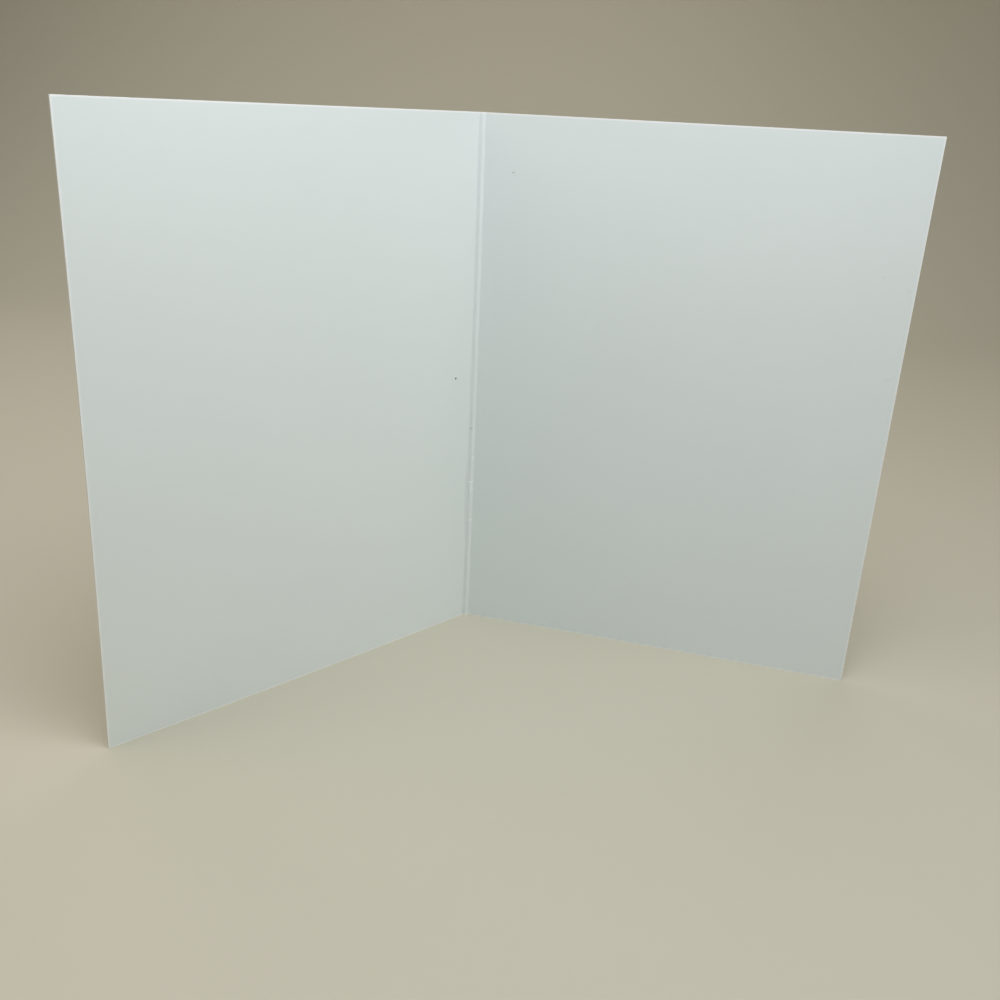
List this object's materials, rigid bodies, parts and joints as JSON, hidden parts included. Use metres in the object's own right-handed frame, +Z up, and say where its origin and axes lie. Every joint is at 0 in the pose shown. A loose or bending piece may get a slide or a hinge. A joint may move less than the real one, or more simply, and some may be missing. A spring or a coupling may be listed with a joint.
{
  "type": "greeting card",
  "caption": "Blank white greeting card of one folded sheet, standing open on its foot edges with the crease at the back.",
  "frame": {"origin": "middle of the card's footprint, on the surface it stands on", "axes": "+Z up along the fold; the fold is at the +Y side and the card opens towards -Y; +X to the reader's right"},
  "size_m": [0.189, 0.056, 0.1397],
  "materials": {
    "coated_board": "satin coated white board"
  },
  "bodies": {
    "root": {"folded_card": "coated_board"}
  },
  "joints": []
}
